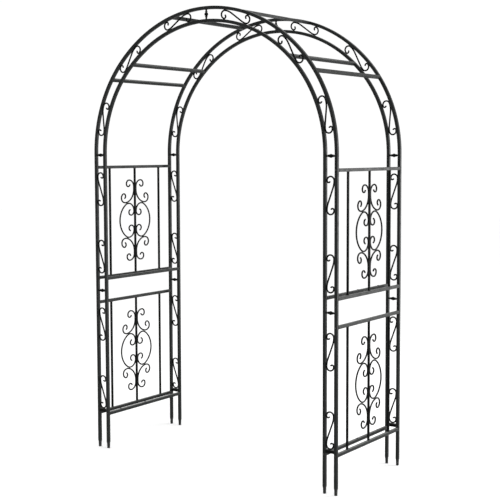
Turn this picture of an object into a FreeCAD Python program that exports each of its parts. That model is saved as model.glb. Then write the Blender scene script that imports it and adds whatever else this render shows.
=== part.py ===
"""Metal trellis arch: a garden arch of square steel tube, with scrollwork, that bolts together.

Frame: origin on the ground at the centre of the footprint, +X across the walkway to the right,
+Y through the arch to the rear, +Z up. All sizes are in millimetres and degrees.

Four ladder legs, each an outer and an inner tube, carry a front and a rear ladder arch.
Rails with bars and scrolls close both sides, and cross bars tie the front arch to the rear one.
"""
import FreeCAD, Part
import Sketcher
import math
import os

Vector = FreeCAD.Vector

# ---------------------------------------------------------------- driving dimensions

SIZES = [
    ("overall_width", 1524, "outer face to outer face of the outer leg tubes"),
    ("overall_depth", 608, "front face to rear face of the leg tubes"),
    ("spring_height", 1585, "ground to the joint where the arch starts to curve"),
    ("arch_rise", 712, "spring joint to the centre line of the outer tube at the crown"),
    ("haunch_angle", 45, "turn of the haunch arc, before the flatter crown arc takes over"),
    ("ladder_pitch", 62.5, "outer tube to inner tube of a ladder, centre to centre"),
    ("tube", 16, "side of the square tube of legs, arches, rails and cross bars"),
    ("tube_wall", 1.5, "wall of that tube"),
    ("tube_corner", 2, "outside corner radius of that tube"),
    ("panel_bar", 10, "side of the square tube of the upright panel bars"),
    ("panel_bar_wall", 1.2, "wall of that tube"),
    ("panel_bar_corner", 1.6, "outside corner radius of that tube"),
    ("stake", 34, "height of the stake tip below the leg tube"),
    ("stake_shoulder", 8, "height over which the tip narrows from the tube"),
    ("stake_side", 12, "side of the tip below its shoulder"),
    ("stake_end", 10.5, "side of the tip at the ground"),
    ("leg_joint", 820, "ground to the joint between lower and upper leg tubes"),
    ("lower_panel_base", 188, "ground to the centre of the lower panel's bottom rail"),
    ("lower_panel_rise", 600, "bottom rail to top rail of the lower panel"),
    ("upper_panel_base", 920, "ground to the centre of the upper panel's bottom rail"),
    ("upper_panel_rise", 592, "bottom rail to top rail of the upper panel"),
    ("middle_ball_rung", 854, "ground to the ball rung between the two panels"),
    ("upper_ball_rung", 1577, "ground to the ball rung just below the spring joint"),
    ("rung_rod", 9, "diameter of the rod of a ball rung"),
    ("rung_ball", 19, "diameter of the ball on that rod"),
    ("rung_collar", 13, "diameter of the collar on each side of the ball"),
    ("collar_width", 4, "width of a collar"),
    ("outer_bar_low_angle", 34.3, "turn of the arch at the lower outer cross bar"),
    ("inner_bar_angle", 47.2, "turn of the arch at the inner cross bar"),
    ("outer_bar_high_angle", 73.7, "turn of the arch at the outer cross bar near the crown"),
    ("cap_flange", 2.5, "thickness of the cap between a rail and a leg"),
    ("plug_length", 18, "length of a rail plug inside its tube"),
    ("plug_clearance", 0.2, "gap between a plug and the inside of its tube, each side"),
    ("bolt", 6, "diameter of the bolts"),
    ("bolt_clearance", 0.5, "bolt hole in a tube, wider than the bolt by this"),
    ("thread_clearance", 0.04, "plug bore, wider than the bolt by this"),
    ("bolt_head", 11, "diameter of a bolt's domed head"),
    ("bolt_head_height", 3.2, "height of that head"),
    ("bolt_socket", 3.5, "hexagon socket in the head, across flats"),
    ("bolt_end", 5, "bolt end beyond the plug"),
    ("spigot_length", 44, "length of a spigot, half of it in each tube"),
    ("spigot_clearance", 0.5, "gap between a spigot and the inside of its tube, each side"),
    ("scroll_rod", 8, "diameter of the rod of every scroll"),
    ("curl_offset", 68, "centre of a ladder scroll to the centre of each of its curls"),
    ("scroll_to_rail", 116, "rail centre to the centre of the nearest ladder scroll"),
    ("scroll_forward", 3, "ladder scrolls sit this far outside the middle plane of their tubes"),
    ("scroll_shoulder", 92, "radius where a ladder scroll leaves its curl"),
    ("hook_radius", 8.5, "radius of the hook that ends a ladder scroll"),
    ("hook_turn", 155, "turn of that hook"),
    ("belly_reach", 121, "bar centre to the widest point of a belly scroll"),
    ("belly_radius", 103.5, "radius of the belly"),
    ("shoulder_radius", 41.5, "radius that brings the belly back to the bar"),
    ("belly_hug", 2.5, "length along which a belly scroll is welded to the bar"),
    ("belly_curl", 22, "radius of the first part of its end curl"),
    ("belly_curl_turn", 117, "turn of that part"),
    ("belly_hook", 15, "radius of the last part of its end curl"),
    ("belly_hook_turn", 138, "turn of that part"),
    ("swing_radius", 73, "radius that swings a crest scroll away from the bar"),
    ("swing_turn", 79, "turn of that part"),
    ("crest_bend", 43, "radius of the bend after it"),
    ("crest_bend_turn", 34, "turn of that bend"),
    ("ear_radius", 24.5, "radius of the outer curl of a crest scroll"),
    ("ear_turn", 130, "turn of that curl"),
    ("ear_hook", 13.5, "radius of the hook that ends it"),
    ("ear_hook_turn", 180, "turn of that hook"),
    ("crest_hug", 15.5, "length along which a crest scroll is welded to the bar"),
    ("crest_radius", 36, "radius of the first part of the top curl"),
    ("crest_turn", 96, "turn of that part"),
    ("crest_curl", 20.5, "radius of the second part"),
    ("crest_curl_turn", 94, "turn of that part"),
    ("crest_hook", 14, "radius of the last part"),
    ("crest_hook_turn", 160, "turn of that part"),
]

doc = FreeCAD.newDocument("trellis_arch")
sizes = doc.addObject("Spreadsheet::Sheet", "sizes")
for row, (alias, value, meaning) in enumerate(SIZES, start=1):
    sizes.set("A%d" % row, alias)
    sizes.set("B%d" % row, str(value))
    sizes.set("C%d" % row, meaning)
    sizes.setAlias("B%d" % row, alias)
doc.recompute()


def size(alias):
    """Value of one driving dimension, read from the sheet."""
    return float(sizes.get(alias))


# Places as numbers, for the pieces that are computed from the sheet.
tube = size("tube")
tube_bore = tube - 2 * size("tube_wall")
outer_x = (size("overall_width") - tube) / 2
inner_x = outer_x - size("ladder_pitch")
middle_x = (outer_x + inner_x) / 2
leg_y = (size("overall_depth") - tube) / 2
rail_half = leg_y - tube / 2 - size("cap_flange")
ladder_gap = size("ladder_pitch") - tube
rod_radius = size("scroll_rod") / 2

# The same places as formulas, for the pieces that are bound to the sheet.
OUTER_X = "((sizes.overall_width - sizes.tube) / 2)"
INNER_X = "(%s - sizes.ladder_pitch)" % OUTER_X
LEG_Y = "((sizes.overall_depth - sizes.tube) / 2)"
RAIL_HALF = "(%s - sizes.tube / 2 - sizes.cap_flange)" % LEG_Y

SIDES = (("left", -1), ("right", 1))
ENDS = (("front", -1), ("rear", 1))
PANELS = ("lower", "upper")
X_AXIS = Vector(1, 0, 0)
Y_AXIS = Vector(0, 1, 0)
Z_AXIS = Vector(0, 0, 1)
UPRIGHT = FreeCAD.Rotation()
ALONG_X = FreeCAD.Rotation(Y_AXIS, 90)
ALONG_Y = FreeCAD.Rotation(X_AXIS, -90)

nodes = []


def bind(thing, places):
    """Bind properties or constraints of one object to formulas of the sheet."""
    for place, formula in places.items():
        thing.setExpression(place, formula)


# ---------------------------------------------------------------- the arch curve

# Each quarter is a haunch arc and a flatter, tangent crown arc that ends level over the walkway.
haunch_turn = math.radians(size("haunch_angle"))
arc_step = (outer_x - size("arch_rise")) / (math.sin(haunch_turn) + math.cos(haunch_turn) - 1)
haunch_centre_x = arc_step * math.cos(haunch_turn)
haunch_radius = outer_x - haunch_centre_x
quarter_turn = math.pi / 2

ARC_STEP = "((%s - sizes.arch_rise) / (sin(sizes.haunch_angle) + cos(sizes.haunch_angle) - 1))" % OUTER_X
HAUNCH_CENTRE_X = "(%s * cos(sizes.haunch_angle))" % ARC_STEP
CROWN_DROP = "(%s * sin(sizes.haunch_angle))" % ARC_STEP
HAUNCH_RADIUS = "(%s - %s)" % (OUTER_X, HAUNCH_CENTRE_X)


def arch_point(turn, inward):
    """Point of the right-hand quarter at a turn, some way inside the outer tube's centre line."""
    outward = Vector(math.cos(turn), 0, math.sin(turn))
    if turn <= haunch_turn:
        centre = Vector(haunch_centre_x, 0, size("spring_height"))
        return centre + outward * (haunch_radius - inward)
    centre = Vector(0, 0, size("spring_height") - arc_step * math.sin(haunch_turn))
    return centre + outward * (haunch_radius + arc_step - inward)


def turn_at_length(length, inward):
    """Turn reached at a length along the quarter from the spring joint."""
    haunch_length = haunch_turn * (haunch_radius - inward)
    if length <= haunch_length:
        return length / (haunch_radius - inward)
    return haunch_turn + (length - haunch_length) / (haunch_radius + arc_step - inward)


def arch_formulas(turn, inward):
    """Formulas of a point on an arch tube, measured from the centre of its haunch arc."""
    places = []
    for function in ("cos", "sin"):
        on_haunch = "(%s - %s) * %s(%s)" % (HAUNCH_RADIUS, inward, function, turn)
        on_crown = "(%s + %s - %s) * %s(%s) - %s * %s(sizes.haunch_angle)" % (
            HAUNCH_RADIUS, ARC_STEP, inward, function, turn, ARC_STEP, function)
        places.append("(%s <= sizes.haunch_angle ? %s : %s)" % (turn, on_haunch, on_crown))
    return tuple(places)


# ---------------------------------------------------------------- sketches and tubes

def new_sketch(body, name, role):
    """Sketch on an origin plane of its own body."""
    plane = next(feature for feature in body.Origin.OriginFeatures if feature.Role == role)
    sketch = body.newObject("Sketcher::SketchObject", name)
    sketch.AttachmentSupport = [(plane, "")]
    sketch.MapMode = "FlatFace"
    return sketch


def add_named(sketch, name, formula, *constraint):
    """Dimensional constraint bound to a formula."""
    sketch.renameConstraint(sketch.addConstraint(Sketcher.Constraint(*constraint)), name)
    bind(sketch, {"Constraints." + name: formula})


def add_square(sketch, name, side, corner, centre_x=0, centre_point=-1):
    """Square with round corners about a point of the sketch: its origin, or a construction point."""
    start_corner = 1
    reach = tube / 2 - start_corner
    first = sketch.GeometryCount
    for index in range(4):
        turn = FreeCAD.Rotation(Z_AXIS, 90 * index)
        start, end, centre = (Vector(centre_x, 0, 0) + turn.multVec(Vector(x, y, 0))
                              for x, y in ((-reach, -tube / 2), (reach, -tube / 2), (reach, -reach)))
        sketch.addGeometry(Part.LineSegment(start, end), False)
        circle = Part.Circle(centre, Z_AXIS, start_corner)
        arc = Part.ArcOfCircle(circle, (index - 1) * quarter_turn, index * quarter_turn)
        sketch.addGeometry(arc, False)
    for index in range(4):
        line = first + 2 * index
        following = first + (2 * index + 2) % 8
        sketch.addConstraint(Sketcher.Constraint("Tangent", line, 2, line + 1, 1))
        sketch.addConstraint(Sketcher.Constraint("Tangent", line + 1, 2, following, 1))
        sketch.addConstraint(Sketcher.Constraint(("Horizontal", "Vertical")[index % 2], line))
        if index > 0:
            sketch.addConstraint(Sketcher.Constraint("Equal", first + 1, line + 1))
    sketch.addConstraint(Sketcher.Constraint("Equal", first, first + 2))
    sketch.addConstraint(Sketcher.Constraint("Symmetric", first + 1, 3, first + 5, 3, centre_point, 1))
    add_named(sketch, name + "_flat", "%s - 2 * %s" % (side, corner), "Distance", first, 2 * reach)
    add_named(sketch, name + "_corner", corner, "Radius", first + 1, start_corner)


def drill(body, holes):
    """Bolt holes right through a body along its own Y, at (x formula, z formula) places."""
    sketch = new_sketch(body, body.Name + "_holes", "XZ_Plane")
    for index, (across, along) in enumerate(holes):
        # A rough starting place, which the constraints below replace.
        start = Vector(100, 100 * (index + 1), 0)
        circle = sketch.addGeometry(Part.Circle(start, Z_AXIS, 3), False)
        add_named(sketch, "hole%d" % index, "sizes.bolt + sizes.bolt_clearance",
                  "Diameter", circle, 6)
        if across is None:
            sketch.addConstraint(Sketcher.Constraint("PointOnObject", circle, 3, -2))
        else:
            add_named(sketch, "across%d" % index, across, "DistanceX", -1, 1, circle, 3, 100)
        add_named(sketch, "along%d" % index, along, "DistanceY", -1, 1, circle, 3, start.y)
    pocket = body.newObject("PartDesign::Pocket", body.Name + "_drilled")
    pocket.Profile = sketch
    pocket.Type = "ThroughAll"
    pocket.SideType = "Symmetric"


def add_tube_section(sketch, tube_size="sizes.tube", centre_x=0, centre_point=-1):
    """Outside and inside of a square tube, from the aliases that start with its name."""
    wall = tube_size + "_wall"
    corner = tube_size + "_corner"
    add_square(sketch, "outside", tube_size, corner, centre_x, centre_point)
    add_square(sketch, "inside", "(%s - 2 * %s)" % (tube_size, wall), "(%s - %s)" % (corner, wall),
               centre_x, centre_point)


def straight_tube(name, length, place, rotation=UPRIGHT, tube_size="sizes.tube", holes=()):
    """Square tube along its own Z, drilled at heights along it, then placed."""
    body = doc.addObject("PartDesign::Body", name)
    body.Label = name
    sketch = new_sketch(body, name + "_section", "XY_Plane")
    add_tube_section(sketch, tube_size)
    pad = body.newObject("PartDesign::Pad", name + "_pad")
    pad.Profile = sketch
    bind(pad, {"Length": length})
    if holes:
        drill(body, [(None, height) for height in holes])
    body.Placement = FreeCAD.Placement(Vector(), rotation)
    bind(body, {"Placement.Base." + axis: formula for axis, formula in zip("xyz", place)})
    return body


def arch_tube(name, inward, side, end, bar_turns):
    """Quarter of an arch tube: haunch and crown arcs in one tube, drilled for its cross bars."""
    body = doc.addObject("PartDesign::Body", name)
    body.Label = name
    haunch = "(%s - %s)" % (HAUNCH_RADIUS, inward)
    crown = "(%s + %s)" % (haunch, ARC_STEP)
    arcs = (("haunch", haunch, "sizes.haunch_angle"),
            ("crown", crown, "90 - sizes.haunch_angle"))
    for part, radius, turn in arcs:
        sketch = new_sketch(body, name + "_" + part + "_section", "XY_Plane")
        if part == "crown":
            tilt = FreeCAD.Rotation(Vector(0, -1, 0), size("haunch_angle"))
            sketch.AttachmentOffset = FreeCAD.Placement(Vector(), tilt)
            bind(sketch, {"AttachmentOffset.Base.x": "-" + HAUNCH_CENTRE_X,
                          "AttachmentOffset.Base.z": "-" + CROWN_DROP,
                          "AttachmentOffset.Rotation.Angle": "sizes.haunch_angle"})
        centre = sketch.addGeometry(Part.Point(Vector(haunch_radius, 0, 0)), True)
        sketch.addConstraint(Sketcher.Constraint("PointOnObject", centre, 1, -1))
        add_named(sketch, "radius", radius, "DistanceX", -1, 1, centre, 1, haunch_radius)
        add_tube_section(sketch, "sizes.tube", haunch_radius, centre)
        bend = body.newObject("PartDesign::Revolution", name + "_" + part)
        bend.Profile = sketch
        bend.ReferenceAxis = (sketch, ["V_Axis"])
        bend.Reversed = True
        bind(bend, {"Angle": turn})
    drill(body, [arch_formulas(turn, inward) for turn in bar_turns])
    body.Placement = FreeCAD.Placement(Vector(), FreeCAD.Rotation(Z_AXIS, 0 if side > 0 else 180))
    bind(body, {"Placement.Base.x": "%d * %s" % (side, HAUNCH_CENTRE_X),
                "Placement.Base.y": "%d * %s" % (end, LEG_Y),
                "Placement.Base.z": "sizes.spring_height"})
    return body


# ---------------------------------------------------------------- rods bent from lines and arcs

class Bend:
    """Chain of tangent lines and arcs in the XZ plane, drawn like a bent rod's centre line."""

    def __init__(self, x, z, heading):
        self.x = x
        self.z = z
        self.heading = math.radians(heading)
        self.edges = []

    def line(self, length):
        """Straight run along the heading."""
        end_x = self.x + length * math.cos(self.heading)
        end_z = self.z + length * math.sin(self.heading)
        edge = Part.LineSegment(Vector(self.x, 0, self.z), Vector(end_x, 0, end_z))
        self.edges.append(edge.toShape())
        self.x = end_x
        self.z = end_z
        return self

    def arc(self, radius, turn):
        """Arc of a radius; a positive turn in degrees is anticlockwise, with X right and Z up."""
        swept = math.radians(turn)
        side = math.copysign(1, swept)
        centre_x = self.x - side * radius * math.sin(self.heading)
        centre_z = self.z + side * radius * math.cos(self.heading)
        points = []
        for share in (0, 0.5, 1):
            angle = self.heading - side * quarter_turn + swept * share
            points.append(Vector(centre_x + radius * math.cos(angle), 0,
                                 centre_z + radius * math.sin(angle)))
        self.edges.append(Part.Arc(*points).toShape())
        self.x = points[2].x
        self.z = points[2].z
        self.heading += swept
        return self


def rod(edges):
    """Round rod along tangent edges."""
    wire = Part.Wire(Part.sortEdges(edges)[0])
    start = wire.OrderedVertexes[0].Point
    first = wire.OrderedEdges[0]
    along = first.tangentAt(first.Curve.parameter(start))
    profile = Part.Wire([Part.makeCircle(rod_radius, start, along)])
    return wire.makePipe(Part.Face(profile))


def mirrored(shape, axis):
    """Copy of a shape on the other side of the origin, along an axis."""
    return shape.mirror(Vector(), axis)


def group(name, solids):
    """One node that holds several computed solids."""
    feature = doc.addObject("Part::Feature", name)
    feature.Label = name
    feature.Shape = Part.makeCompound(solids)
    nodes.append(feature)


def bundle(name, bodies):
    """One node that holds several placed bodies."""
    compound = doc.addObject("Part::Compound", name)
    compound.Label = name
    compound.Links = bodies
    nodes.append(compound)


# ---------------------------------------------------------------- legs

def make_legs():
    lower = "(sizes.leg_joint - sizes.stake)"
    upper = "(sizes.spring_height - sizes.leg_joint)"
    bolt_heights = {
        ("outer", "lower"): ["sizes.lower_panel_base",
                             "sizes.lower_panel_base + sizes.lower_panel_rise"],
        ("inner", "lower"): ["sizes.lower_panel_base"],
        ("outer", "upper"): ["sizes.upper_panel_base",
                             "sizes.upper_panel_base + sizes.upper_panel_rise"],
        ("inner", "upper"): ["sizes.upper_panel_base"],
    }
    for end_name, end in ENDS:
        for side_name, side in SIDES:
            for layer, distance in (("outer", OUTER_X), ("inner", INNER_X)):
                for section, base, length in (("lower", "sizes.stake", lower),
                                              ("upper", "sizes.leg_joint", upper)):
                    name = "%s_%s_%s_%s_leg_tube" % (end_name, side_name, section, layer)
                    place = ("%d * %s" % (side, distance), "%d * %s" % (end, LEG_Y), base)
                    holes = ["%s - %s" % (height, base) for height in bolt_heights[layer, section]]
                    nodes.append(straight_tube(name, length, place, holes=holes))


def make_foot_rungs():
    """Plain rung across each leg, touching the lowest curl of its scrolls."""
    curl_centre = "sizes.lower_panel_base + sizes.scroll_to_rail - sizes.curl_offset"
    height = "%s - sizes.ladder_pitch / 2" % curl_centre
    rungs = []
    for end_name, end in ENDS:
        for side_name, side in SIDES:
            start = "%s + sizes.tube / 2" % INNER_X if side > 0 else "-%s + sizes.tube / 2" % OUTER_X
            rungs.append(straight_tube("%s_%s_foot_rung" % (end_name, side_name),
                                       "sizes.ladder_pitch - sizes.tube",
                                       (start, "%d * %s" % (end, LEG_Y), height), ALONG_X))
    bundle("foot_rungs", rungs)


def make_ball_rungs():
    """Rod with a ball between two collars, welded across each ladder."""
    radius = size("rung_ball") / 2
    collar = size("collar_width")
    rung = Part.makeCylinder(size("rung_rod") / 2, ladder_gap, Vector(0, 0, -ladder_gap / 2))
    turned = [Part.makeSphere(radius)]
    for height in (-radius - collar, radius):
        turned.append(Part.makeCylinder(size("rung_collar") / 2, collar, Vector(0, 0, height)))
    rung = rung.fuse(turned).removeSplitter()
    level = rung.rotated(Vector(), Y_AXIS, 90)
    solids = []
    for end_name, end in ENDS:
        for side_name, side in SIDES:
            for height in (size("middle_ball_rung"), size("upper_ball_rung")):
                solids.append(level.translated(Vector(side * middle_x, end * leg_y, height)))
        crown = arch_point(quarter_turn, size("ladder_pitch") / 2)
        solids.append(rung.translated(crown + Vector(0, end * leg_y, 0)))
    group("ball_rungs", solids)


def make_stake_tips():
    """Plug-in tip below each leg tube."""
    stake = size("stake")
    outline = ((0, size("stake_end")), (stake - size("stake_shoulder"), size("stake_side")),
               (stake, tube - size("tube_corner")))
    sections = []
    for height, side in outline:
        corners = [Vector(x * side / 2, y * side / 2, height)
                   for x, y in ((-1, -1), (1, -1), (1, 1), (-1, 1), (-1, -1))]
        sections.append(Part.makePolygon(corners))
    tip = Part.makeLoft(sections, True, True)
    plug = tube_bore - 2 * size("plug_clearance")
    tip = tip.fuse(Part.makeBox(plug, plug, size("plug_length"), Vector(-plug / 2, -plug / 2, stake)))
    group("stake_tips", [tip.translated(Vector(side * distance, end * leg_y, 0))
                         for end_name, end in ENDS for side_name, side in SIDES
                         for distance in (outer_x, inner_x)])


# ---------------------------------------------------------------- arches and cross bars

def make_arches():
    for end_name, end in ENDS:
        for side_name, side in SIDES:
            name = "%s_%s_" % (end_name, side_name)
            nodes.append(arch_tube(name + "outer_arch_tube", "0", side, end,
                                   ["sizes.outer_bar_low_angle", "sizes.outer_bar_high_angle"]))
            nodes.append(arch_tube(name + "inner_arch_tube", "sizes.ladder_pitch", side, end,
                                   ["sizes.inner_bar_angle"]))


def cross_bar_places():
    """Name, x and z formulas, centre and tilt of every cross bar."""
    places = []
    for side_name, side in SIDES:
        for name, alias, inward in (("lower_outer", "outer_bar_low_angle", "0"),
                                    ("inner", "inner_bar_angle", "sizes.ladder_pitch"),
                                    ("upper_outer", "outer_bar_high_angle", "0")):
            across, above = arch_formulas("sizes." + alias, inward)
            point = arch_point(math.radians(size(alias)), 0 if inward == "0" else size("ladder_pitch"))
            places.append(("%s_%s_cross_bar" % (side_name, name),
                           "%d * (%s + %s)" % (side, HAUNCH_CENTRE_X, across),
                           "sizes.spring_height + %s" % above,
                           Vector(side * point.x, 0, point.z), -side * size(alias)))
    return places


# ---------------------------------------------------------------- ladder scrolls

def ladder_scroll(upper, upper_normal, lower, lower_normal):
    """S-shaped rod between two tubes: the upper curl hangs from the outer tube, the lower curl
    stands on the inner tube, and a straight run joins them. Normals point to the outer tube."""
    curl = ladder_gap / 2 - rod_radius
    shoulder = size("scroll_shoulder")
    ends = []
    for centre, normal, outward in ((upper, upper_normal, 1), (lower, lower_normal, -1)):
        direction = Vector(math.cos(normal), 0, math.sin(normal)) * outward
        ends.append((centre + direction * curl, centre + direction * (curl - shoulder)))
    (upper_touch, upper_centre), (lower_touch, lower_centre) = ends
    span = lower_centre - upper_centre
    straight = math.atan2(span.z, span.x) - math.asin(2 * shoulder / span.Length)
    turn_in = math.remainder(straight - (upper_normal - quarter_turn), 2 * math.pi)
    turn_out = math.remainder(lower_normal - quarter_turn - straight, 2 * math.pi)
    upper_curl = Bend(upper_touch.x, upper_touch.z, math.degrees(upper_normal + quarter_turn))
    run = Bend(upper_touch.x, upper_touch.z, math.degrees(upper_normal - quarter_turn))
    run.arc(shoulder, math.degrees(turn_in))
    run.line(math.sqrt(span.Length ** 2 - 4 * shoulder ** 2))
    run.arc(shoulder, math.degrees(turn_out))
    for bend in (upper_curl, run):
        bend.arc(curl, 180).arc(size("hook_radius"), size("hook_turn"))
    return rod(upper_curl.edges + run.edges)


def both_sides_and_ends(scroll):
    """A front right ladder scroll, repeated in all four ladders."""
    plane = leg_y + size("scroll_forward")
    return [piece.translated(Vector(0, end * plane, 0))
            for piece in (scroll, mirrored(scroll, X_AXIS)) for end_name, end in ENDS]


def make_leg_scrolls():
    offset = size("curl_offset")
    for panel in PANELS:
        base = size(panel + "_panel_base")
        top = base + size(panel + "_panel_rise")
        solids = []
        for height in (base + size("scroll_to_rail"), top - size("scroll_to_rail")):
            scroll = ladder_scroll(Vector(middle_x, 0, height + offset), 0,
                                   Vector(middle_x, 0, height - offset), 0)
            solids.extend(both_sides_and_ends(scroll))
        group(panel + "_leg_scrolls", solids)


def make_arch_scrolls():
    """Three scrolls in each quarter arch, at the middles of three equal lengths."""
    inward = size("ladder_pitch") / 2
    quarter = (haunch_turn * (haunch_radius - inward)
               + (quarter_turn - haunch_turn) * (haunch_radius + arc_step - inward))
    solids = []
    for share in (1 / 6, 1 / 2, 5 / 6):
        upper = turn_at_length(quarter * share + size("curl_offset"), inward)
        lower = turn_at_length(quarter * share - size("curl_offset"), inward)
        scroll = ladder_scroll(arch_point(upper, inward), upper, arch_point(lower, inward), lower)
        solids.extend(both_sides_and_ends(scroll))
    group("arch_scrolls", solids)


# ---------------------------------------------------------------- side panels

def rail_places():
    """Name, x and z formulas, centre and tilt of every rail."""
    places = []
    for side_name, side in SIDES:
        for panel in PANELS:
            bottom = "sizes.%s_panel_base" % panel
            top = "%s + sizes.%s_panel_rise" % (bottom, panel)
            bottom_z = size(panel + "_panel_base")
            top_z = bottom_z + size(panel + "_panel_rise")
            for name, x_formula, x, z_formula, z in (
                    ("outer_bottom", OUTER_X, outer_x, bottom, bottom_z),
                    ("outer_top", OUTER_X, outer_x, top, top_z),
                    ("inner_bottom", INNER_X, inner_x, bottom, bottom_z)):
                places.append(("%s_%s_%s_rail" % (side_name, panel, name),
                               "%d * %s" % (side, x_formula), z_formula, Vector(side * x, 0, z), 0))
    return places


def make_rails_and_cross_bars():
    """Tubes bolted between the front and the rear; a cross bar is turned to follow the arch."""
    for name, x_formula, z_formula, centre, tilt in rail_places() + cross_bar_places():
        rotation = FreeCAD.Rotation(Y_AXIS, tilt).multiply(ALONG_Y)
        place = (x_formula, "-%s" % RAIL_HALF, z_formula)
        nodes.append(straight_tube(name, "2 * %s" % RAIL_HALF, place, rotation))


def make_panel_bars():
    """Three uprights between the outer rails of each panel, at a sixth, a half and five sixths."""
    for side_name, side in SIDES:
        for panel in PANELS:
            bars = []
            for place, share in (("front", -1), ("middle", 0), ("rear", 1)):
                bars.append(straight_tube(
                    "%s_%s_%s_bar" % (side_name, panel, place),
                    "sizes.%s_panel_rise - sizes.tube" % panel,
                    ("%d * %s" % (side, OUTER_X), "%d * 2 / 3 * %s" % (share, LEG_Y),
                     "sizes.%s_panel_base + sizes.tube / 2" % panel),
                    tube_size="sizes.panel_bar"))
            bundle("%s_%s_panel_bars" % (side_name, panel), bars)


def belly_scroll(hug_x):
    """C-shaped scroll that bulges away from the bar; returns it and its shoulder's centre."""
    belly = size("belly_radius")
    shoulder = size("shoulder_radius")
    across = hug_x + shoulder - (size("belly_reach") - belly)
    shoulder_z = math.sqrt((belly - shoulder) ** 2 - across ** 2)
    turn = math.degrees(math.atan2(shoulder_z, across))
    half = Bend(size("belly_reach"), 0, 90)
    half.arc(belly, turn).arc(shoulder, 180 - turn).line(size("belly_hug"))
    half.arc(size("belly_curl"), size("belly_curl_turn"))
    half.arc(size("belly_hook"), size("belly_hook_turn"))
    edges = half.edges + [mirrored(edge, Z_AXIS) for edge in half.edges]
    return rod(edges), shoulder_z


def crest_scroll(hug_x, shoulder_z):
    """C-shaped scroll above the belly scroll, touching it and welded to the bar."""
    swing = size("swing_radius")
    shoulder = size("shoulder_radius")
    reach = swing + shoulder + 2 * rod_radius
    swing_z = shoulder_z + math.sqrt(reach ** 2 - (swing - shoulder) ** 2)
    ear = Bend(hug_x, swing_z, -90)
    ear.arc(swing, size("swing_turn")).arc(size("crest_bend"), size("crest_bend_turn"))
    ear.arc(size("ear_radius"), size("ear_turn")).arc(size("ear_hook"), size("ear_hook_turn"))
    crest = Bend(hug_x, swing_z, 90)
    crest.line(size("crest_hug")).arc(size("crest_radius"), -size("crest_turn"))
    crest.arc(size("crest_curl"), -size("crest_curl_turn"))
    crest.arc(size("crest_hook"), -size("crest_hook_turn"))
    return rod(ear.edges + crest.edges)


def make_panel_scrolls():
    hug_x = size("panel_bar") / 2 + rod_radius
    belly, shoulder_z = belly_scroll(hug_x)
    crest = crest_scroll(hug_x, shoulder_z)
    half = [belly, crest, mirrored(crest, Z_AXIS)]
    pattern = half + [mirrored(piece, X_AXIS) for piece in half]
    pattern = [piece.rotated(Vector(), Z_AXIS, 90) for piece in pattern]
    for side_name, side in SIDES:
        for panel in PANELS:
            middle = size(panel + "_panel_base") + size(panel + "_panel_rise") / 2
            group("%s_%s_panel_scrolls" % (side_name, panel),
                  [piece.translated(Vector(side * outer_x, 0, middle)) for piece in pattern])


# ---------------------------------------------------------------- fasteners and inner pieces

def fastened_places():
    """Centre and tilt of every tube that is bolted between the front and the rear."""
    return [(centre, tilt) for name, x_formula, z_formula, centre, tilt
            in rail_places() + cross_bar_places()]


def facing(shape, point, tilt, end):
    """Copy of a piece made for the front end of a tube, put at one of its ends."""
    shape = shape.rotated(Vector(), Y_AXIS, tilt)
    if end > 0:
        shape = mirrored(shape, Y_AXIS)
    return shape.translated(point)


def make_bolts():
    """Dome-headed bolts through the legs and arches into the plugs."""
    head_height = size("bolt_head_height")
    face_y = -leg_y - tube / 2
    length = tube + size("cap_flange") + size("plug_length") + size("bolt_end")
    head = Part.makeCylinder(size("bolt_head") / 2, head_height, Vector(0, face_y, 0), -Y_AXIS)
    rim = [edge for edge in head.Edges if edge.Length > 0 and edge.Closed
           and abs(edge.CenterOfMass.y - (face_y - head_height)) < 0.01]
    head = head.makeFillet(head_height * 0.8, rim)
    socket = Part.Face(Part.makePolygon([
        Vector(size("bolt_socket") / math.sqrt(3) * math.cos(math.radians(60 * corner)),
               face_y - head_height,
               size("bolt_socket") / math.sqrt(3) * math.sin(math.radians(60 * corner)))
        for corner in range(7)]))
    head = head.cut(socket.extrude(Y_AXIS * head_height * 0.6))
    bolt = head.fuse(Part.makeCylinder(size("bolt") / 2, length, Vector(0, face_y, 0), Y_AXIS))
    group("bolts", [facing(bolt, point, tilt, end)
                    for point, tilt in fastened_places() for end_name, end in ENDS])


def make_plugs():
    """Threaded plug with a cap, in each end of a rail or cross bar."""
    flange = size("cap_flange")
    side = tube_bore - 2 * size("plug_clearance")
    start = -rail_half
    cap = Part.makeBox(tube, flange, tube, Vector(-tube / 2, start - flange, -tube / 2))
    corners = [edge for edge in cap.Edges if abs(edge.Length - flange) < 0.01]
    cap = cap.makeFillet(size("tube_corner"), corners)
    plug = cap.fuse(Part.makeBox(side, size("plug_length"), side, Vector(-side / 2, start, -side / 2)))
    bore_radius = (size("bolt") + size("thread_clearance")) / 2
    plug = plug.cut(Part.makeCylinder(bore_radius, flange + size("plug_length"),
                                      Vector(0, start - flange, 0), Y_AXIS))
    group("threaded_plugs", [facing(plug, point, tilt, end)
                             for point, tilt in fastened_places() for end_name, end in ENDS])


def make_spigots():
    """Bar inside each tube joint: middle of a leg, spring line and crown."""
    side = tube_bore - 2 * size("spigot_clearance")
    length = size("spigot_length")
    spigot = Part.makeBox(side, side, length, Vector(-side / 2, -side / 2, -length / 2))
    level = spigot.rotated(Vector(), Y_AXIS, 90)
    solids = []
    for end_name, end in ENDS:
        for inward, distance in ((0, outer_x), (size("ladder_pitch"), inner_x)):
            for side_name, side_sign in SIDES:
                for height in (size("leg_joint"), size("spring_height")):
                    solids.append(spigot.translated(Vector(side_sign * distance, end * leg_y, height)))
            crown = arch_point(quarter_turn, inward)
            solids.append(level.translated(Vector(0, end * leg_y, crown.z)))
    group("joint_spigots", solids)


# ---------------------------------------------------------------- build, check, write

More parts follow.
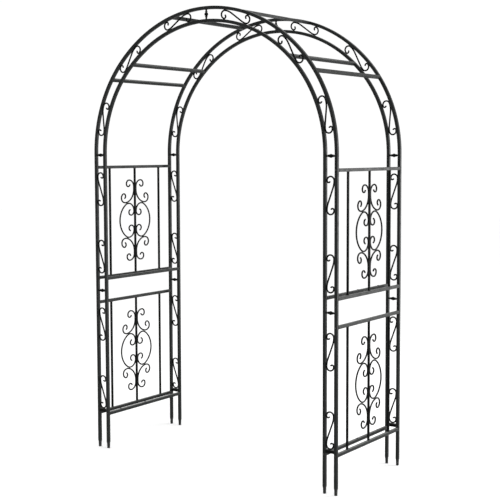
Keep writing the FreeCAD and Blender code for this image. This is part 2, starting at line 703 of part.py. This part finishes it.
make_legs()
make_foot_rungs()
make_ball_rungs()
make_stake_tips()
make_arches()
make_leg_scrolls()
make_arch_scrolls()
make_rails_and_cross_bars()
make_panel_bars()
make_panel_scrolls()
make_bolts()
make_plugs()
make_spigots()
doc.recompute()

for item in doc.Objects:
    if {"Invalid", "Error"} & set(item.State):
        raise RuntimeError("%s did not recompute: %s" % (item.Label, item.State))
for piece in nodes:
    if piece.Shape.isNull() or not piece.Shape.isValid() or not piece.Shape.Solids:
        raise RuntimeError("%s has no valid solid" % piece.Label)
    if min(solid.Volume for solid in piece.Shape.Solids) <= 0:
        raise RuntimeError("%s has a solid with no volume" % piece.Label)

os.makedirs("parts", exist_ok=True)
for piece in nodes:
    piece.Shape.exportStep("parts/%s.step" % piece.Label)
solid_count = sum(len(piece.Shape.Solids) for piece in nodes)
print("%d nodes, %d solids" % (len(nodes), solid_count))
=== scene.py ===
"""Looks of the metal trellis arch: powder-coated steel with weld beads, on a pale studio floor."""
import functools
import math
import random

import bmesh
import bpy
import numpy
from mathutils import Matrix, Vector
from mathutils.bvhtree import BVHTree


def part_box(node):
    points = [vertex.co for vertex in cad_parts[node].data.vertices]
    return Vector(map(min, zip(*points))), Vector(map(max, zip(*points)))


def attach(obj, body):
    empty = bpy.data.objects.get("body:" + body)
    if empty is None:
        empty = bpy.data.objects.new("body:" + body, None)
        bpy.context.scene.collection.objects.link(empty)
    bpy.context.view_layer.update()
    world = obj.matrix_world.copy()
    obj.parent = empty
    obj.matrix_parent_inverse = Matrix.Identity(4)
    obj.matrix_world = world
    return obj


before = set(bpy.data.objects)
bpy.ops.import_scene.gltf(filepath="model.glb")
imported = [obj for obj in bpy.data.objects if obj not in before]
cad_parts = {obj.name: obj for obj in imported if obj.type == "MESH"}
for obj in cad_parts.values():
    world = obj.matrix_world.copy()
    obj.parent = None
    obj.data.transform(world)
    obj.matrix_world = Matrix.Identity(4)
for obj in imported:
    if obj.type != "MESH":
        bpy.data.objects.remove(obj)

MM = 0.001
X_AXIS = Vector((1, 0, 0))
Y_AXIS = Vector((0, 1, 0))
Z_AXIS = Vector((0, 0, 1))

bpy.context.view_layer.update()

SIDES = ("left", "right")
ENDS = ("front", "rear")
PANELS = ("lower", "upper")

# Places that the materials and the beads need, all read from the frame.
leg_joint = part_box("front_left_upper_outer_leg_tube")[0][2]
spring_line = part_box("front_left_outer_arch_tube")[0][2]
tube_low, tube_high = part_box("front_left_upper_outer_leg_tube")
tube_side = tube_high[0] - tube_low[0]
bar_low, bar_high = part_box("left_lower_panel_bars")
bar_side = bar_high[0] - bar_low[0]
scroll_low, scroll_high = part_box("left_lower_panel_scrolls")
rod_radius = (scroll_high[0] - scroll_low[0]) / 2

# Sizes that no box in the frame gives.
RUNG_RADIUS = 4.5 * MM
SEAM_WIDTH = 0.7 * MM
CAP_RADIUS = 5.5 * MM
CAP_HEIGHT = 3 * MM

# Colours, as linear red, green, blue and alpha.
COAT_DARK = (0.0070, 0.0080, 0.0078, 1)
COAT_LIGHT = (0.0115, 0.0130, 0.0126, 1)
# Grey of dust on upward faces, which also paints the light that falls on top.
DUST_AND_TOP_LIGHT = (0.240, 0.243, 0.237, 1)
WORN_COAT = (0.042, 0.045, 0.044, 1)
# Near black for the painted shadow in the gaps where tubes join.
SEAM_GAP_SHADOW = (0.002, 0.002, 0.002, 1)
OXIDE_DARK = (0.020, 0.020, 0.021, 1)
OXIDE_LIGHT = (0.045, 0.043, 0.041, 1)
WORN_OXIDE = (0.20, 0.19, 0.18, 1)
PLASTIC_DARK = (0.0075, 0.0075, 0.0080, 1)
PLASTIC_LIGHT = (0.013, 0.013, 0.0135, 1)
WORN_PLASTIC = (0.04, 0.04, 0.04, 1)
SOIL = (0.075, 0.062, 0.048, 1)
STEEL_DARK = (0.30, 0.30, 0.31, 1)
STEEL_LIGHT = (0.46, 0.46, 0.47, 1)
FLOOR_DARK = (0.98, 0.98, 0.98, 1)
FLOOR_LIGHT = (0.995, 0.995, 0.995, 1)

# Painted shade: the bars, scrolls and rungs have the same coat as the tubes, darkened because they
# catch less light.
THIN_ROD_PAINTED_SHADE = 0.3


# ---------------------------------------------------------------- material nodes

class Graph:
    """Material under construction: a Principled shader and the nodes that feed it."""

    def __init__(self, name):
        self.material = bpy.data.materials.new(name)
        self.material.use_nodes = True
        self.tree = self.material.node_tree
        self.shader = self.tree.nodes["Principled BSDF"]
        self.place = self.add("ShaderNodeTexCoord").outputs["Object"]

    def add(self, kind, **settings):
        node = self.tree.nodes.new(kind)
        for name, value in settings.items():
            setattr(node, name, value)
        return node

    def join(self, source, target):
        """Link a socket, or set a plain value."""
        if isinstance(source, bpy.types.NodeSocket):
            self.tree.links.new(source, target)
        else:
            target.default_value = source

    def math(self, operation, first, second=0.0):
        node = self.add("ShaderNodeMath", operation=operation)
        self.join(first, node.inputs[0])
        self.join(second, node.inputs[1])
        return node.outputs[0]

    def noise(self, feature, detail=2.0, roughness=0.5):
        """Noise between 0 and 1 whose features are about that many metres wide."""
        node = self.add("ShaderNodeTexNoise")
        self.join(self.place, node.inputs["Vector"])
        node.inputs["Scale"].default_value = 1 / feature
        node.inputs["Detail"].default_value = detail
        node.inputs["Roughness"].default_value = roughness
        return node.outputs["Fac"]

    def remap(self, value, low, high, to_low=0.0, to_high=1.0):
        node = self.add("ShaderNodeMapRange")
        self.join(value, node.inputs["Value"])
        node.inputs["From Min"].default_value = low
        node.inputs["From Max"].default_value = high
        node.inputs["To Min"].default_value = to_low
        node.inputs["To Max"].default_value = to_high
        return node.outputs["Result"]

    def mix(self, factor, first, second):
        node = self.add("ShaderNodeMix", data_type="RGBA")
        self.join(factor, node.inputs["Factor"])
        self.join(first, node.inputs["A"])
        self.join(second, node.inputs["B"])
        return node.outputs["Result"]

    def bump(self, height, distance, strength=1.0, normal=None):
        node = self.add("ShaderNodeBump")
        self.join(height, node.inputs["Height"])
        node.inputs["Distance"].default_value = distance
        node.inputs["Strength"].default_value = strength
        if normal is not None:
            self.join(normal, node.inputs["Normal"])
        return node.outputs["Normal"]

    def edges(self, radius):
        """1 on sharp outside edges, 0 on flats, and the normal rounded over those edges."""
        bevel = self.add("ShaderNodeBevel", samples=6)
        bevel.inputs["Radius"].default_value = radius
        flat = self.add("ShaderNodeNewGeometry").outputs["Normal"]
        dot = self.add("ShaderNodeVectorMath", operation="DOT_PRODUCT")
        self.join(bevel.outputs["Normal"], dot.inputs[0])
        self.join(flat, dot.inputs[1])
        return self.remap(dot.outputs["Value"], 0.99, 0.75), bevel.outputs["Normal"]

    def facing_up(self):
        """1 on faces that look up, 0 on upright and hanging faces."""
        axes = self.add("ShaderNodeSeparateXYZ")
        self.join(self.add("ShaderNodeNewGeometry").outputs["Normal"], axes.inputs[0])
        return self.remap(axes.outputs["Z"], 0.5, 0.95)

    def near(self, axis, value, width):
        """1 within a width of a plane across an axis, 0 elsewhere."""
        axes = self.add("ShaderNodeSeparateXYZ")
        self.join(self.place, axes.inputs[0])
        away = self.math("ABSOLUTE", self.math("SUBTRACT", axes.outputs[axis], value))
        return self.remap(away, width, width / 2)


def shaded(colour, shade):
    """A colour made darker or lighter by a factor; the powder coat uses it to paint shade into the thin
    rods' coat.
    """
    return tuple(channel * shade for channel in colour[:3]) + (1,)


def powder_coat(name, seams=(), shade=1.0):
    """Charcoal powder coat: orange peel, faint mottling, dust and painted top light on upward faces,
    wear on edges, painted shadow at the joints, and painted shade for the thin rods.
    """
    graph = Graph(name)
    shader = graph.shader
    mottle = graph.remap(graph.noise(90 * MM, 4), 0.35, 0.65)
    # Painted shade: below 1 the factor darkens the coat colour of the thin rods, for the less light
    # they catch.
    colour = graph.mix(mottle, shaded(COAT_DARK, shade), shaded(COAT_LIGHT, shade))

    # Dust and painted top light: upward faces turn grey, partly as real dust and partly as painted
    # light from above.
    dust_and_top_light_grain = graph.remap(graph.noise(14 * MM, 5, 0.65), 0.38, 0.7, 0.35, 0.8)
    dust_and_top_light = graph.math("MULTIPLY", graph.facing_up(), dust_and_top_light_grain)
    colour = graph.mix(dust_and_top_light, colour, DUST_AND_TOP_LIGHT)

    edge, rounded = graph.edges(1.1 * MM)
    rubbed = graph.remap(graph.noise(22 * MM, 6, 0.7), 0.44, 0.66, 0.15, 0.8)
    wear = graph.math("MULTIPLY", edge, rubbed)
    colour = graph.mix(wear, colour, WORN_COAT)

    # Painted shadow: near-black lines at the joint planes stand in for the shade in the gaps between
    # joined tubes.
    for axis, value in seams:
        colour = graph.mix(graph.near(axis, value, SEAM_WIDTH), colour, SEAM_GAP_SHADOW)
    graph.join(colour, shader.inputs["Base Color"])

    cloudy = graph.remap(graph.noise(30 * MM, 3), 0.3, 0.7, 0.40, 0.54)
    graph.join(graph.math("ADD", cloudy, graph.math("MULTIPLY", dust_and_top_light, 0.3)), shader.inputs["Roughness"])
    peel = graph.bump(graph.noise(1.6 * MM, 1.5), 0.10 * MM, 0.55, rounded)
    fine = graph.bump(graph.noise(0.45 * MM, 1), 0.03 * MM, 0.4, peel)
    graph.join(fine, shader.inputs["Normal"])
    # The same painted shade also lowers the specular level of the thin rods.
    shader.inputs["Specular IOR Level"].default_value = 0.10 * shade
    return graph.material


def black_steel():
    """Black-oxide bolt steel: turned grain, worn bright where the driver bears."""
    graph = Graph("black_bolt_steel")
    edge, rounded = graph.edges(0.6 * MM)
    stain = graph.remap(graph.noise(5 * MM, 4), 0.35, 0.7)
    colour = graph.mix(stain, OXIDE_DARK, OXIDE_LIGHT)
    colour = graph.mix(graph.math("MULTIPLY", edge, 0.6), colour, WORN_OXIDE)
    graph.join(colour, graph.shader.inputs["Base Color"])
    graph.shader.inputs["Metallic"].default_value = 0.85
    graph.join(graph.remap(graph.noise(2 * MM, 3), 0.3, 0.7, 0.32, 0.5),
               graph.shader.inputs["Roughness"])
    graph.join(graph.bump(graph.noise(0.5 * MM, 2), 0.02 * MM, 0.5, rounded),
               graph.shader.inputs["Normal"])
    return graph.material


def moulded_plastic(name, scuffed):
    """Matte black moulding with a fine spark grain; stake tips are scuffed and soiled as well."""
    graph = Graph(name)
    grain = graph.noise(0.6 * MM, 2)
    cloudy = graph.remap(graph.noise(25 * MM, 3), 0.3, 0.7)
    colour = graph.mix(cloudy, PLASTIC_DARK, PLASTIC_LIGHT)
    edge, rounded = graph.edges(0.8 * MM)
    colour = graph.mix(graph.math("MULTIPLY", edge, 0.4), colour, WORN_PLASTIC)
    if scuffed:
        soil = graph.remap(graph.noise(6 * MM, 6, 0.7), 0.56, 0.72, 0.0, 0.35)
        colour = graph.mix(soil, colour, SOIL)
    graph.join(colour, graph.shader.inputs["Base Color"])
    graph.join(graph.remap(grain, 0.3, 0.7, 0.55, 0.72), graph.shader.inputs["Roughness"])
    graph.join(graph.bump(grain, 0.04 * MM, 0.6, rounded), graph.shader.inputs["Normal"])
    graph.shader.inputs["Specular IOR Level"].default_value = 0.2
    return graph.material


def drawn_steel():
    """Plain drawn bar with lengthwise streaks, for the spigots inside the tubes."""
    graph = Graph("drawn_steel")
    streak = graph.noise(1.2 * MM, 3)
    colour = graph.mix(streak, STEEL_DARK, STEEL_LIGHT)
    graph.join(colour, graph.shader.inputs["Base Color"])
    graph.shader.inputs["Metallic"].default_value = 1.0
    graph.join(graph.remap(streak, 0.3, 0.7, 0.3, 0.5), graph.shader.inputs["Roughness"])
    graph.join(graph.bump(streak, 0.02 * MM, 0.5), graph.shader.inputs["Normal"])
    return graph.material


def paint(node, material):
    """Give a whole frame node or piece one material."""
    node.data.materials.clear()
    node.data.materials.append(material)


def paint_nodes():
    """Paint every frame node; returns the thin rods' coat, darkened with painted shade, and the plastic
    of the plugs.
    """
    plain = powder_coat("powder_coat")
    leg = powder_coat("powder_coat_legs", (("Z", leg_joint), ("Z", spring_line)))
    arch = powder_coat("powder_coat_arches", (("X", 0.0), ("Z", spring_line)))
    thin = powder_coat("powder_coat_thin_rods_painted_shade", shade=THIN_ROD_PAINTED_SHADE)
    plug_plastic = moulded_plastic("black_plug_plastic", False)
    special = {
        "bolts": black_steel(),
        "threaded_plugs": plug_plastic,
        "stake_tips": moulded_plastic("black_tip_plastic", True),
        "joint_spigots": drawn_steel(),
    }
    for name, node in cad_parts.items():
        if name.endswith("leg_tube"):
            paint(node, leg)
        elif name.endswith("arch_tube"):
            paint(node, arch)
        # The bars, scrolls and rungs get the copy of the coat darkened with painted shade.
        elif name.endswith(("_scrolls", "_panel_bars", "_rungs")):
            paint(node, thin)
        else:
            paint(node, special.get(name, plain))
    return thin, plug_plastic


# ---------------------------------------------------------------- weld beads

@functools.cache
def tree_of(name):
    """Search tree over the faces of a node."""
    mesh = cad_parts[name].data
    corners = [vertex.co for vertex in mesh.vertices]
    return BVHTree.FromPolygons(corners, [face.vertices for face in mesh.polygons])


@functools.cache
def points_of(name):
    """Corners of a node's mesh, one row each."""
    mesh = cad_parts[name].data
    flat = numpy.empty(3 * len(mesh.vertices), dtype=numpy.float32)
    mesh.vertices.foreach_get("co", flat)
    return flat.reshape(-1, 3)


def contacts(piece, target, reach, spread):
    """Places where a node's mesh comes within reach of another's, one per cluster of that spread."""
    low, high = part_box(target)
    points = points_of(piece)
    inside = (points >= numpy.array(low) - reach) & (points <= numpy.array(high) + reach)
    clusters = []
    for point in points[inside.all(axis=1)]:
        place, normal, face, distance = tree_of(target).find_nearest(Vector(point), reach)
        if place is None:
            continue
        for cluster in clusters:
            if (cluster[0][0] - place).length < spread:
                cluster.append((place, normal))
                break
        else:
            clusters.append([(place, normal)])
    found = []
    for cluster in clusters:
        lows = Vector(min(place[axis] for place, normal in cluster) for axis in range(3))
        highs = Vector(max(place[axis] for place, normal in cluster) for axis in range(3))
        found.append(((lows + highs) / 2, cluster[0][1]))
    return found


@functools.cache
def ball():
    """Corners and faces of a coarse unit ball."""
    mesh = bmesh.new()
    bmesh.ops.create_icosphere(mesh, subdivisions=2, radius=1)
    mesh.verts.index_update()
    corners = numpy.array([vertex.co for vertex in mesh.verts])
    faces = numpy.array([[corner.index for corner in face.verts] for face in mesh.faces])
    mesh.free()
    return corners, faces


class Beads:
    """Stretched balls in one mesh: the uneven drops of weld beads, and the domes of hole caps."""

    # Shares of a drop's radius: half length, half height, spacing along the bead.
    LENGTH_SHARE = 0.8
    HEIGHT_SHARE = 0.62
    SPACING_SHARE = 0.75
    UNEVENNESS = 0.15
    # Where a bead beside a rod lies: share of the rod's radius sideways, of the drop's radius up.
    SIDE_SHARE = 0.62
    LIFT_SHARE = 0.35
    LOOP_STEPS = 24

    def __init__(self):
        self.balls = []
        self.draw = random.Random(7)

    def add_ball(self, centre, *half_axes):
        """Ball stretched to three half axes."""
        self.balls.append((numpy.array(centre), numpy.array([list(axis) for axis in half_axes])))

    def drop(self, centre, along, normal, radius):
        """One uneven drop, a little shorter and flatter than it is wide."""
        across = normal.cross(along).normalized()
        lift = normal.normalized()
        run = across.cross(lift)
        uneven = self.draw.uniform(1 - self.UNEVENNESS, 1 + self.UNEVENNESS)
        self.add_ball(centre, run * radius * self.LENGTH_SHARE, across * radius * uneven,
                      lift * radius * self.HEIGHT_SHARE * uneven)

    def run(self, points, normal, radius):
        """Drops along a chain of points."""
        for start, end in zip(points, points[1:]):
            length = (end - start).length
            count = max(1, round(length / (radius * self.SPACING_SHARE)))
            for index in range(count):
                self.drop(start.lerp(end, index / count), end - start, normal, radius)

    def beside_rod(self, place, normal, plane, length, radius):
        """Two short beads, one on each face of a flat scroll, where its rod lies along a tube."""
        along = normal.cross(plane).normalized()
        for side in (-1, 1):
            middle = place + plane * side * rod_radius * self.SIDE_SHARE
            middle = middle + normal * radius * self.LIFT_SHARE
            self.run([middle - along * length / 2, middle + along * length / 2], normal, radius)

    def round_rod(self, place, normal, rod, radius, squareness=1.0):
        """Bead around the foot of a round or square rod that stands on a tube."""
        first = normal.orthogonal() if abs(normal.y) > 0.9 else normal.cross(Y_AXIS)
        first = first.normalized()
        second = normal.cross(first)
        points = []
        for step in range(self.LOOP_STEPS + 1):
            angle = math.tau * step / self.LOOP_STEPS
            cosine, sine = math.cos(angle), math.sin(angle)
            stretch = abs(cosine) ** (2 * squareness) + abs(sine) ** (2 * squareness)
            stretch = rod / stretch ** (1 / (2 * squareness))
            points.append(place + (first * cosine + second * sine) * stretch)
        self.run(points, normal, radius)

    def finish(self, name, material):
        """Make the piece that holds all the balls."""
        corners, faces = ball()
        points = numpy.concatenate([corners @ half_axes + centre for centre, half_axes in self.balls])
        shifts = numpy.arange(len(self.balls)) * len(corners)
        triangles = (faces[None] + shifts[:, None, None]).reshape(-1, 3)
        data = bpy.data.meshes.new(name)
        data.from_pydata(points.tolist(), [], triangles.tolist())
        for face in data.polygons:
            face.use_smooth = True
        piece = bpy.data.objects.new(name, data)
        bpy.context.scene.collection.objects.link(piece)
        paint(piece, material)
        return piece


def ladder_targets(section):
    """Tube nodes of one ladder section, on every corner."""
    return ["%s_%s_%s" % (end, side, section.replace("*", layer))
            for end in ENDS for side in SIDES for layer in ("outer", "inner")]


def weld_ladders(material):
    """Beads of the scrolls and rungs inside the legs and arches."""
    beads = Beads()
    for scrolls, section in (("lower_leg_scrolls", "lower_*_leg_tube"),
                             ("upper_leg_scrolls", "upper_*_leg_tube"),
                             ("arch_scrolls", "*_arch_tube")):
        for target in ladder_targets(section):
            for place, normal in contacts(scrolls, target, reach=0.5 * MM, spread=40 * MM):
                beads.beside_rod(place, normal, Y_AXIS, length=8 * MM, radius=1.5 * MM)
    for section in ("lower_*_leg_tube", "upper_*_leg_tube", "*_arch_tube"):
        for target in ladder_targets(section):
            for place, normal in contacts("ball_rungs", target, reach=0.2 * MM, spread=12 * MM):
                beads.round_rod(place, normal, RUNG_RADIUS, radius=1.3 * MM)
    foot_rung_half = tube_side / 2 - 0.6 * MM
    for target in ladder_targets("lower_*_leg_tube"):
        for place, normal in contacts("foot_rungs", target, reach=0.2 * MM, spread=24 * MM):
            beads.round_rod(place, normal, foot_rung_half, radius=1.4 * MM, squareness=4)
    piece = beads.finish("ladder_weld_beads", material)
    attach(piece, "root")


def weld_panels(material):
    """Beads of the bars on their rails, and of the scrolls on the middle bars."""
    bar_half = bar_side / 2 + 0.2 * MM
    for side in SIDES:
        beads = Beads()
        for panel in PANELS:
            bars = "%s_%s_panel_bars" % (side, panel)
            for rail in ("outer_bottom_rail", "outer_top_rail"):
                target = "%s_%s_%s" % (side, panel, rail)
                for place, normal in contacts(bars, target, reach=0.2 * MM, spread=16 * MM):
                    beads.round_rod(place, normal, bar_half, radius=1.2 * MM, squareness=4)
            scrolls = "%s_%s_panel_scrolls" % (side, panel)
            for place, normal in contacts(scrolls, bars, reach=0.3 * MM, spread=26 * MM):
                beads.beside_rod(place, normal, X_AXIS, length=9 * MM, radius=1.5 * MM)
        piece = beads.finish(side + "_panel_weld_beads", material)
        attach(piece, "root")


def add_hole_caps(material):
    """Low domes on each inner bottom rail, in line with the bars between the outer rails."""
    caps = Beads()
    station = bar_high[1] - bar_side / 2
    for side in SIDES:
        for panel in PANELS:
            low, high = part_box("%s_%s_inner_bottom_rail" % (side, panel))
            for y in (-station, 0, station):
                centre = ((low[0] + high[0]) / 2, y, high[2])
                caps.add_ball(centre, X_AXIS * CAP_RADIUS, Y_AXIS * CAP_RADIUS, Z_AXIS * CAP_HEIGHT)
    piece = caps.finish("rail_hole_caps", material)
    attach(piece, "root")


# ---------------------------------------------------------------- studio

def add_floor():
    """Plain pale floor, with a faint grain so it isn't one flat colour."""
    graph = Graph("pale_floor")
    grain = graph.remap(graph.noise(0.4, 3), 0.3, 0.7)
    graph.join(graph.mix(grain, FLOOR_DARK, FLOOR_LIGHT), graph.shader.inputs["Base Color"])
    graph.shader.inputs["Roughness"].default_value = 0.9
    half = 20.0
    data = bpy.data.meshes.new("floor")
    corners = [(-half, -half, 0), (half, -half, 0), (half, half, 0), (-half, half, 0)]
    data.from_pydata(corners, [], [(0, 1, 2, 3)])
    floor = bpy.data.objects.new("floor", data)
    bpy.context.scene.collection.objects.link(floor)
    paint(floor, graph.material)


def add_area_light(name, place, target, size, watts):
    """Round soft lamp that faces a target."""
    data = bpy.data.lights.new(name, "AREA")
    data.shape = "DISK"
    data.size = size
    data.energy = watts
    light = bpy.data.objects.new(name, data)
    light.location = place
    light.rotation_euler = (Vector(target) - Vector(place)).to_track_quat("-Z", "Y").to_euler()
    bpy.context.scene.collection.objects.link(light)


def add_studio():
    """Even white surroundings, a weak soft lamp above and a strong one behind on the right."""
    world = bpy.data.worlds.new("studio")
    bpy.context.scene.world = world
    world.use_nodes = True
    background = world.node_tree.nodes["Background"]
    background.inputs["Color"].default_value = (1, 1, 1, 1)
    background.inputs["Strength"].default_value = 1.03
    middle = (0, 0, 1.1)
    add_area_light("top_lamp", (0.5, -0.5, 5.5), middle, size=3.0, watts=45)
    add_area_light("right_lamp", (4.1, 4.2, 1.3), middle, size=2.2, watts=260)
    bpy.context.scene.view_settings.view_transform = "Standard"


def add_camera():
    """Camera at standing height, to the right of the front."""
    data = bpy.data.cameras.new("camera")
    data.lens = 77.9
    data.sensor_width = 36.0
    data.shift_x = -0.0912
    data.shift_y = -0.0417
    camera = bpy.data.objects.new("camera", data)
    camera.location = (3.3645, -4.4814, 1.6014)
    camera.rotation_euler = (math.radians(90 - 4.158), 0, math.radians(34.130))
    bpy.context.scene.collection.objects.link(camera)
    bpy.context.scene.camera = camera


# ---------------------------------------------------------------- build

# The weld beads take the thin rods' coat, with its painted shade.
coat, plug_plastic = paint_nodes()
weld_ladders(coat)
weld_panels(coat)
add_hole_caps(plug_plastic)
add_floor()
add_studio()
add_camera()
